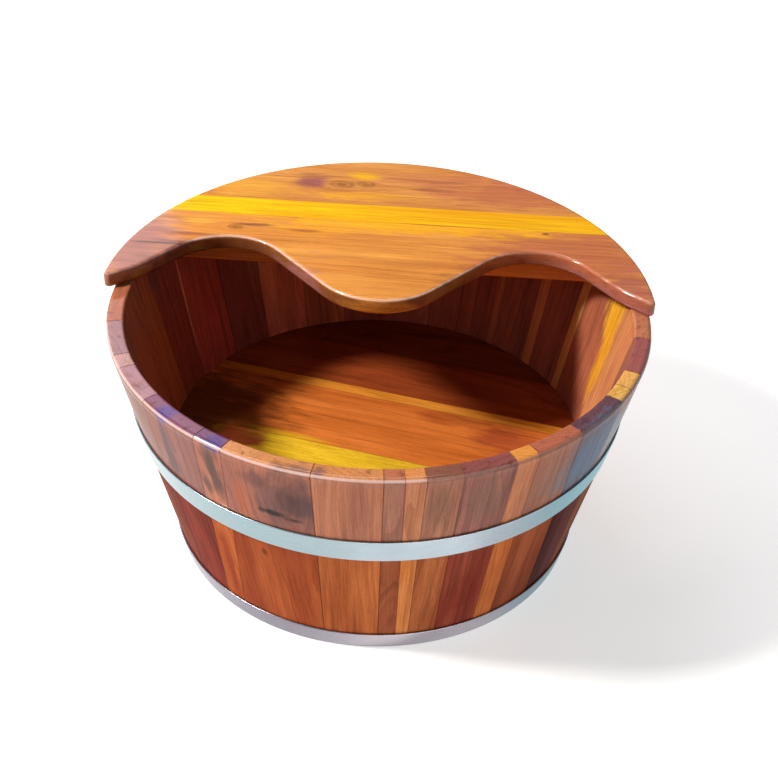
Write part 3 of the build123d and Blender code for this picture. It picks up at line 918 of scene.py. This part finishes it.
# %% The fastener tree: a cross recess
# It is two thin tapered wings, sunk from the foot. The second is a little shallower than the first, so that no two
# of their faces fall together, which would leave the cut open
wing_taper, wing_thinness, second_depth = 0.35, 0.22, 0.93
wing_top = add(fasteners, "Math MULTIPLY", given["Recess width"], wing_taper)
wing = add(fasteners, "MeshCone", Vertices=4, Radius_Top=wing_top, Radius_Bottom=given["Recess width"],
           Depth=given["Recess depth"])
square_on = add(fasteners, "Transform", wing, Rotation=(0, 0, pi / 4))
sunk = add(fasteners, "Transform", square_on, Translation=(0, 0, -0.05 * MM), Scale=(1.0, wing_thinness, 1.0))
crossed = add(fasteners, "Transform", sunk, Translation=(0, 0, -0.02 * MM), Rotation=(0, 0, pi / 2),
              Scale=(1.0, 1.0, second_depth))
first_cut = add(fasteners, "MeshBoolean DIFFERENCE", Mesh_1=solid, Mesh_2=sunk)
cut = add(fasteners, "MeshBoolean DIFFERENCE", Mesh_1=first_cut, Mesh_2=crossed)
shape = add(fasteners, "Switch", given["Cross recess"], solid, cut, input_type="GEOMETRY")
print("with a cross recess:", len(fasteners.nodes), "nodes")

# %% The fastener tree: copies in a row
row = add(fasteners, "MeshLine", mode="OFFSET", Count=given["Count"], Start_Location=given["First place"],
          Offset=given["Step"])
from_middle = add(fasteners, "VectorMath MULTIPLY", add(fasteners, "InputPosition"), (1, 1, 0))
level = add(fasteners, "VectorMath SCALE", from_middle, given["Lean outwards"])
upright = add(fasteners, "CombineXYZ", Z=given["Rise"])
lean = add(fasteners, "AlignRotationToVector", axis="Z", Vector=add(fasteners, "VectorMath ADD", level, upright))
copies = add(fasteners, "InstanceOnPoints", row, Instance=shape, Rotation=lean)
real = add(fasteners, "RealizeInstances", copies)
add(fasteners, "NodeGroupOutput", add(fasteners, "SetMaterial", real, Material=given["Material"]))
print("fastener tree:", len(fasteners.nodes), "nodes")

# %% Hoop rivets
# Cold-formed steel: a plain shank through both layers and a low domed head with a crisp foot
rivet_grip, rivet_shank, rivet_head, rivet_rise, rivet_foot = 2 * strip, 2.0, 4.0, 1.5, 0.35
rivet_spacing = 20.0
dome_turns = [pi / 2 * n / 8 for n in range(9)]
rivet_outline = [(0, 0), (rivet_shank, 0), (rivet_shank, rivet_grip), (rivet_head, rivet_grip)]
rivet_outline += [(rivet_head * cos(a), rivet_grip + rivet_foot + (rivet_rise - rivet_foot) * sin(a))
                  for a in dome_turns]
for name, (bottom, width, lap_turn, steel) in hoops.items():
    height = bottom + width / 2
    from_axis = wall_radius(height) + hoop_gap
    half_step = rivet_spacing / 2 / from_axis
    ends = [Vector((from_axis * cos(radians(lap_turn) + a), from_axis * sin(radians(lap_turn) + a), height)) * MM
            for a in (-half_step, half_step)]
    values = {"First place": ends[0], "Step": ends[1] - ends[0], "Lean outwards": 1 / (from_axis * MM),
              "Rise": -tan(slope), "Material": steel}
    mesh = settled(name + "_rivets", outline_mesh(name, rivet_outline, closed=False), fasteners, fastener_inputs,
                   values, crisp=metal_crisp)
    add_piece(name + "_rivets", mesh, steel, "tub", "hoop_steel", "hoop_rivets")
print("two rivets in each hoop")

# %% [markdown]
# ## Boards of the floor and the lid
#
# A round panel is glued up from straight boards and only then sawn to its outline. It is made the same way here:
# the whole panel first, as a stack of outlines with rounded edges, then a flat cut at each joint. So the outline
# runs on from board to board without a step, as it does on the real lid.

# %% A whole panel
def inset_outline(points, inset):
    """The outline moved inwards. Points run counterclockwise."""
    moved = []
    for n, here in enumerate(points):
        before = (here - points[n - 1]).normalized()
        after = (points[(n + 1) % len(points)] - here).normalized()
        inwards = Vector((-before.y - after.y, before.x + after.x)).normalized()
        # The limit of 0.3 keeps a sharp corner from growing a spike
        moved.append(here + inwards * inset / max(0.3, inwards.dot(Vector((-before.y, before.x)))))
    return moved


def panel(points, thickness, edge_round, steps=5):
    """A flat panel with rounded edges, its middle at the origin, as a bmesh in millimetres."""
    half_thick = thickness / 2
    # The first row lies just inside the round, so that the face beside it stays flat in the light
    rows = [(edge_round * 1.18, half_thick)]
    rows += [(edge_round * (1 - sin(a)), half_thick - edge_round * (1 - cos(a)))
             for a in (pi / 2 * n / steps for n in range(steps + 1))]
    rows = [(inset, -z) for inset, z in rows] + list(reversed(rows))
    shape = bmesh.new()
    rings = [[shape.verts.new((p.x, p.y, z)) for p in inset_outline(points, inset)] for inset, z in rows]
    for low, high in zip(rings, rings[1:]):
        for n in range(len(low)):
            m = (n + 1) % len(low)
            shape.faces.new((low[n], low[m], high[m], high[n]))
    shape.faces.new(rings[-1])
    shape.faces.new(list(reversed(rings[0])))
    return shape


print("a square panel has", len(panel([Vector(p) for p in ((0, 0), (9, 0), (9, 9), (0, 9))], 3, 1).faces), "faces")


# %% The boards that it is cut into
def board(name, whole, front, back, place):
    """The part of a panel between two straight joints, set in its place."""
    piece = whole.copy()
    for y, side in ((front, -1), (back, 1)):
        if y is None:
            continue
        everything = piece.verts[:] + piece.edges[:] + piece.faces[:]
        cut = bmesh.ops.bisect_plane(piece, geom=everything, plane_co=(0, y, 0), plane_no=(0, side, 0),
                                     clear_outer=True)
        edges = [e for e in cut["geom_cut"] if isinstance(e, bmesh.types.BMEdge)]
        bmesh.ops.contextual_create(piece, geom=edges)
    bmesh.ops.transform(piece, matrix=place @ Matrix.Scale(MM, 4), verts=piece.verts)
    bmesh.ops.recalc_face_normals(piece, faces=piece.faces)
    mesh = bpy.data.meshes.new(name)
    piece.to_mesh(mesh)
    piece.free()
    return shaded(mesh)


def set_down(height, turn, x=0.0, y=0.0):
    return Matrix.Translation(Vector((x, y, height)) * MM) @ Matrix.Rotation(radians(turn), 4, "Z")


def board_frame(place, y, tilt=0.0):
    """The grain of a board that lies flat: along the board's X, with its face up."""
    middle = place @ Vector((0, y * MM, 0))
    return grain_frame(middle, place.to_3x3() @ Vector((1, 0, 0)), (0, 0, 1), tilt)


print("a board's grain runs along", tuple(board_frame(set_down(0, 0), 0)[1].to_matrix().col[2]))

# %% [markdown]
# Each board again has its own tones, with knots, stains and painted shadows at spots of the room in millimetres, as
# read off a plan.
# Sapwood runs along the whole board, so it is given by its two limits across it: in a board's own frame Y runs
# towards the front, because Z lies along the grain and X points up.

# %% Floor boards
floor_turn = -16.4
floor_radius = groove_back - groove_play
floor_joints = [share * floor_radius for share in (-0.564, -0.152, 0.281, 0.346, 0.676)]
floor_place = set_down((floor_bottom + floor_top) / 2, floor_turn)
circle = [Vector((cos(a), sin(a))) * floor_radius for a in (radians(2 * n) for n in range(180))]
floor_panel = panel(circle, floor_top - floor_bottom, edge_round=0.5, steps=2)
# A painted shadow of the left wall and the lid over the left of the floor
painted_left_shadow = ((-138, 30, floor_top), 66, 84, "301408", 0.75)
floor_looks = {
    1: dict(tones=("E08438", "C86828", "743414")),
    2: dict(tones=("E08634", "C86C26", "7A3C16"), sap=("FCD838", -60.0, 4.0, 3.0, 9.0), stains_and_painted_light=(
        # A painted shadow on the left of the sapwood, then an orange painted half shade at its edge
        ((-140, 4, floor_top), 70, 60, "5A2414", 0.95), ((-106, -4, floor_top), 40, 20, "C4603C", 0.85))),
    3: dict(tones=("EE8E44", "D87834", "8A481C"), stains_and_painted_light=(
        ((-70, -2, floor_top), 4.5, 40, "F0C42C", 0.85), painted_left_shadow,
        # The next two patches are the painted shadow of the lid's tongue
        ((100, -5, floor_top), 22, 30, "A84C38", 0.7), ((60, 22, floor_top), 9, 40, "A04A28", 0.6))),
    4: dict(tones=("F8AE48", "E89A38", "A86424"), stains_and_painted_light=(painted_left_shadow,)),
    5: dict(tones=("B05A30", "904224", "541E12")),
    6: dict(tones=("98502C", "783820", "461C10")),
}
edges = [None] + floor_joints + [None]
for number, (front, rear) in enumerate(zip(edges, edges[1:]), start=1):
    low = front if front is not None else -floor_radius
    high = rear if rear is not None else floor_radius
    name = f"floor_board_{number}"
    wood = varnished_wood("varnished_" + name, board_frame(floor_place, (low + high) / 2, 1.5 * sin(number)),
                          pith=(60 + 15 * number, 30 * cos(number * 2.0)), rings=3.6, seed=40 + number,
                          edge_lines=((low - high) / 2, (high - low) / 2), **floor_looks[number])
    mesh = board(name + "_wood", floor_panel, front, rear, floor_place)
    add_piece(name + "_wood", mesh, wood, "tub", "floor_wood", name)
print(len(floor_looks), "floor boards")

# %% [markdown]
# ## The lid
#
# The front edge of the lid is a bent line with very round corners: a tongue between the legs, then a deep recess
# and a flare on each side, ending in a sharp tip on the rim. The boards lie at a slight angle to the wave.

# %% Outline of the lid
lid_overhang = 4.0
lid_radius = rim_radius + lid_overhang
lid_thickness = 12.6
lid_board_turn = -0.7
tip_round = 3.5
# x, y and round of each corner, as shares of the lid's radius
right_wave = [(0.0, -0.154, 0.265), (0.575, 0.492, 0.242), (0.874, 0.133, 0.42)]
wave = [(-x, y, size) for x, y, size in reversed(right_wave[1:])] + right_wave
wave = [(x * lid_radius, y * lid_radius, size * lid_radius) for x, y, size in wave]
tip_y = 0.038 * lid_radius
tip_x = sqrt(lid_radius ** 2 - tip_y ** 2)
tip_turn = atan2(tip_y, tip_x)
first_step = 0.05
back_steps = 80
span = pi - 2 * tip_turn - 2 * first_step
arc = [tip_turn + first_step + span * n / back_steps for n in range(back_steps + 1)]
lid_corners = [(-tip_x, tip_y, tip_round)] + wave + [(tip_x, tip_y, tip_round)]
lid_corners += [(lid_radius * cos(a), lid_radius * sin(a), 0.0) for a in arc]
turned = Matrix.Rotation(radians(-lid_board_turn), 2)
lid_outline = [turned @ p for p in rounded_outline(lid_corners, steps=14)]
print("lid outline:", len(lid_outline), "points")

# %% Lid boards
lid_turn = -3.0
lid_shift = (-2.4, -6.8)
lid_edge_round = 2.8
lid_joints = [share * lid_radius for share in (0.522, 0.643)]
lid_place = set_down(tub_height + lid_thickness / 2, lid_turn + lid_board_turn, *lid_shift)
lid_panel = panel(lid_outline, lid_thickness, lid_edge_round)
lid_top = tub_height + lid_thickness
sawn_edge = 198  # low on the sawn front edge, where the stains of the wave lie
# painted_glint is a painted highlight along each board's rounded top edge, strongest on the front board's wave
front_look = dict(
    tones=("F0AC54", "DA9044", "94602E"), pith=(-120, 60), rings=4.5, seed=71, edge_tone="7E4230", painted_glint=0.7,
    stains_and_painted_light=(
        # Among these, 4A242C on the left recess and 6A3420 on the tongue's right flank are painted shade on sawn
        # edges that face away from the light, and F8A848 on the front of the tongue is painted light
        ((-185, 50, lid_top), 70, 45, "A87070", 0.85), ((-150, 55, sawn_edge), 30, 70, "4A242C", 0.9),
        ((-60, 30, sawn_edge), 40, 40, "BC8080", 0.85), ((62, 22, 199), 24, 34, "6A3420", 0.8),
        ((150, 38, sawn_edge), 46, 64, "B08088", 0.85), ((188, 8, sawn_edge), 30, 30, "BC7880", 0.9),
        ((0, -14, sawn_edge), 18, 44, "F8A848", 0.9), ((150, 60, lid_top), 80, 95, "C47454", 0.85),
        ((188, 10, lid_top), 30, 34, "BC7464", 0.8), ((20, 95, lid_top), 14, 150, "FFC020", 0.9),
        ((-50, 86, lid_top), 12, 50, "F8B430", 0.7), ((-142, 95, lid_top), 7, 14, "F4BC50", 0.8),
        ((-175, 61, lid_top), 1.6, 20, "4A2420", 0.85), ((-150, 75, lid_top), 3, 30, "8A5048", 0.6),
        ((-100, 91, lid_top), 3, 22, "8A4E44", 0.8), ((-60, 84, lid_top), 4, 16, "A05C44", 0.6),
        ((60, 96, lid_top), 2, 50, "B0603C", 0.7)),
    knots=(((-113, 87, lid_top), 4.0, 0.5), ((127, 88, lid_top), 1.6, 0.9)))
middle_look = dict(
    tones=("FCCE08", "F6BC08", "CC8814"), pith=(70, -40), rings=3.5, seed=72, edge_tone="A0602C", painted_glint=0.2,
    stains_and_painted_light=(((-130, 122, lid_top), 22, 60, "FCE000", 0.85),))
back_look = dict(
    tones=("E8AA5C", "D28C4A", "90543A"), pith=(-90, 30), rings=4.0, seed=73, edge_tone="7E4230", painted_glint=0.2,
    stains_and_painted_light=(
        ((-110, 148, lid_top), 22, 60, "F0B448", 0.8), ((110, 150, lid_top), 30, 80, "C87858", 0.8),
        ((40, 165, lid_top), 14, 60, "CC8060", 0.5), ((-57, 160, lid_top), 13, 20, "9C5C64", 0.9),
        ((-15, 172, lid_top), 8, 16, "FCC818", 0.9), ((38, 151, lid_top), 3, 24, "A0604C", 0.7),
        ((-20, 138, lid_top), 9, 60, "F8B838", 0.8)),
    knots=(((-34, 157, lid_top), 6.5, 0.55), ((-14, 158, lid_top), 4.0, 0.45)))
# y is where across the lid the board's own pattern has its middle
for name, front, rear, y, look in (("lid_front_board", None, lid_joints[0], 20.0, front_look),
                                   ("lid_middle_board", *lid_joints, 118.0, middle_look),
                                   ("lid_back_board", lid_joints[1], None, 165.0, back_look)):
    wood = varnished_wood("varnished_" + name, board_frame(lid_place, y), **look)
    mesh = board(name + "_wood", lid_panel, front, rear, lid_place)
    add_piece(name + "_wood", mesh, wood, "lid", "lid_wood", name)
print("three lid boards")

# %% [markdown]
# Three countersunk steel screws hold the cleat to the lid from below. Only their cross-recessed heads show, when the
# lid is turned over. The cleat lies just behind the deepest point of the two recesses, so that is found first.

# %% Cleat screws
cleat_width, cleat_depth, cleat_length, cleat_setback = 30.0, 18.0, 373.0, 10.0
outer_screw = 0.6  # share of the cleat's half length
recess_corners = [(x * lid_radius, y * lid_radius, size * lid_radius * (n == 1))
                  for n, (x, y, size) in enumerate(right_wave)]
cleat_front = max(p.y for p in rounded_outline(recess_corners, steps=60)) + cleat_setback
# Radius and height along a screw: a flat countersunk head, a plain shank and a point
screw_outline = [(0, 0), (3.9, 0), (4.0, 0.1), (4.0, 0.3), (2.0, 2.6), (2.0, 22.0), (0, 26.0)]
screw_y, screw_z = cleat_front + cleat_width / 2, -lid_thickness / 2 - cleat_depth
row_ends = [lid_place @ (Vector((share * cleat_length / 2, screw_y, screw_z)) * MM)
            for share in (-outer_screw, outer_screw)]
values = {"Count": 3, "First place": row_ends[0], "Step": (row_ends[1] - row_ends[0]) / 2, "Cross recess": True,
          "Material": lower_steel}
mesh = settled("cleat_screws_steel", outline_mesh("screw", screw_outline, closed=False), fasteners, fastener_inputs,
               values, crisp=metal_crisp)
add_piece("cleat_screws_steel", mesh, lower_steel, "lid", "screw_steel", "cleat_screws")
print("three screws, the first at", [round(v / MM, 1) for v in row_ends[0]])

# %% [markdown]
# The cleat is a straight planed bar, and the loose tenons are hidden inside the joints. Their CAD shape is right as
# it is, so these pieces stay and only get their wood.

# %% Cleat and tenons keep their CAD shape
cleat_middle = 98.0
cleat_wood = varnished_wood("varnished_cleat", board_frame(lid_place, cleat_middle), ("F0A058", "D88440", "90502A"),
                            pith=(60, 20), rings=2.8, seed=81)
tenon_wood = varnished_wood("planed_tenon", board_frame(lid_place, 0.0), ("D8B080", "C89A68", "9A6C40"),
                            pith=(60, 20), rings=2.8, seed=82)
for node, wood in (("lid_cleat", cleat_wood), ("floor_tenons", tenon_wood), ("lid_tenons", tenon_wood)):
    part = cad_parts[node]
    part.data.materials.clear()
    part.data.materials.append(wood)
print("CAD pieces dressed")
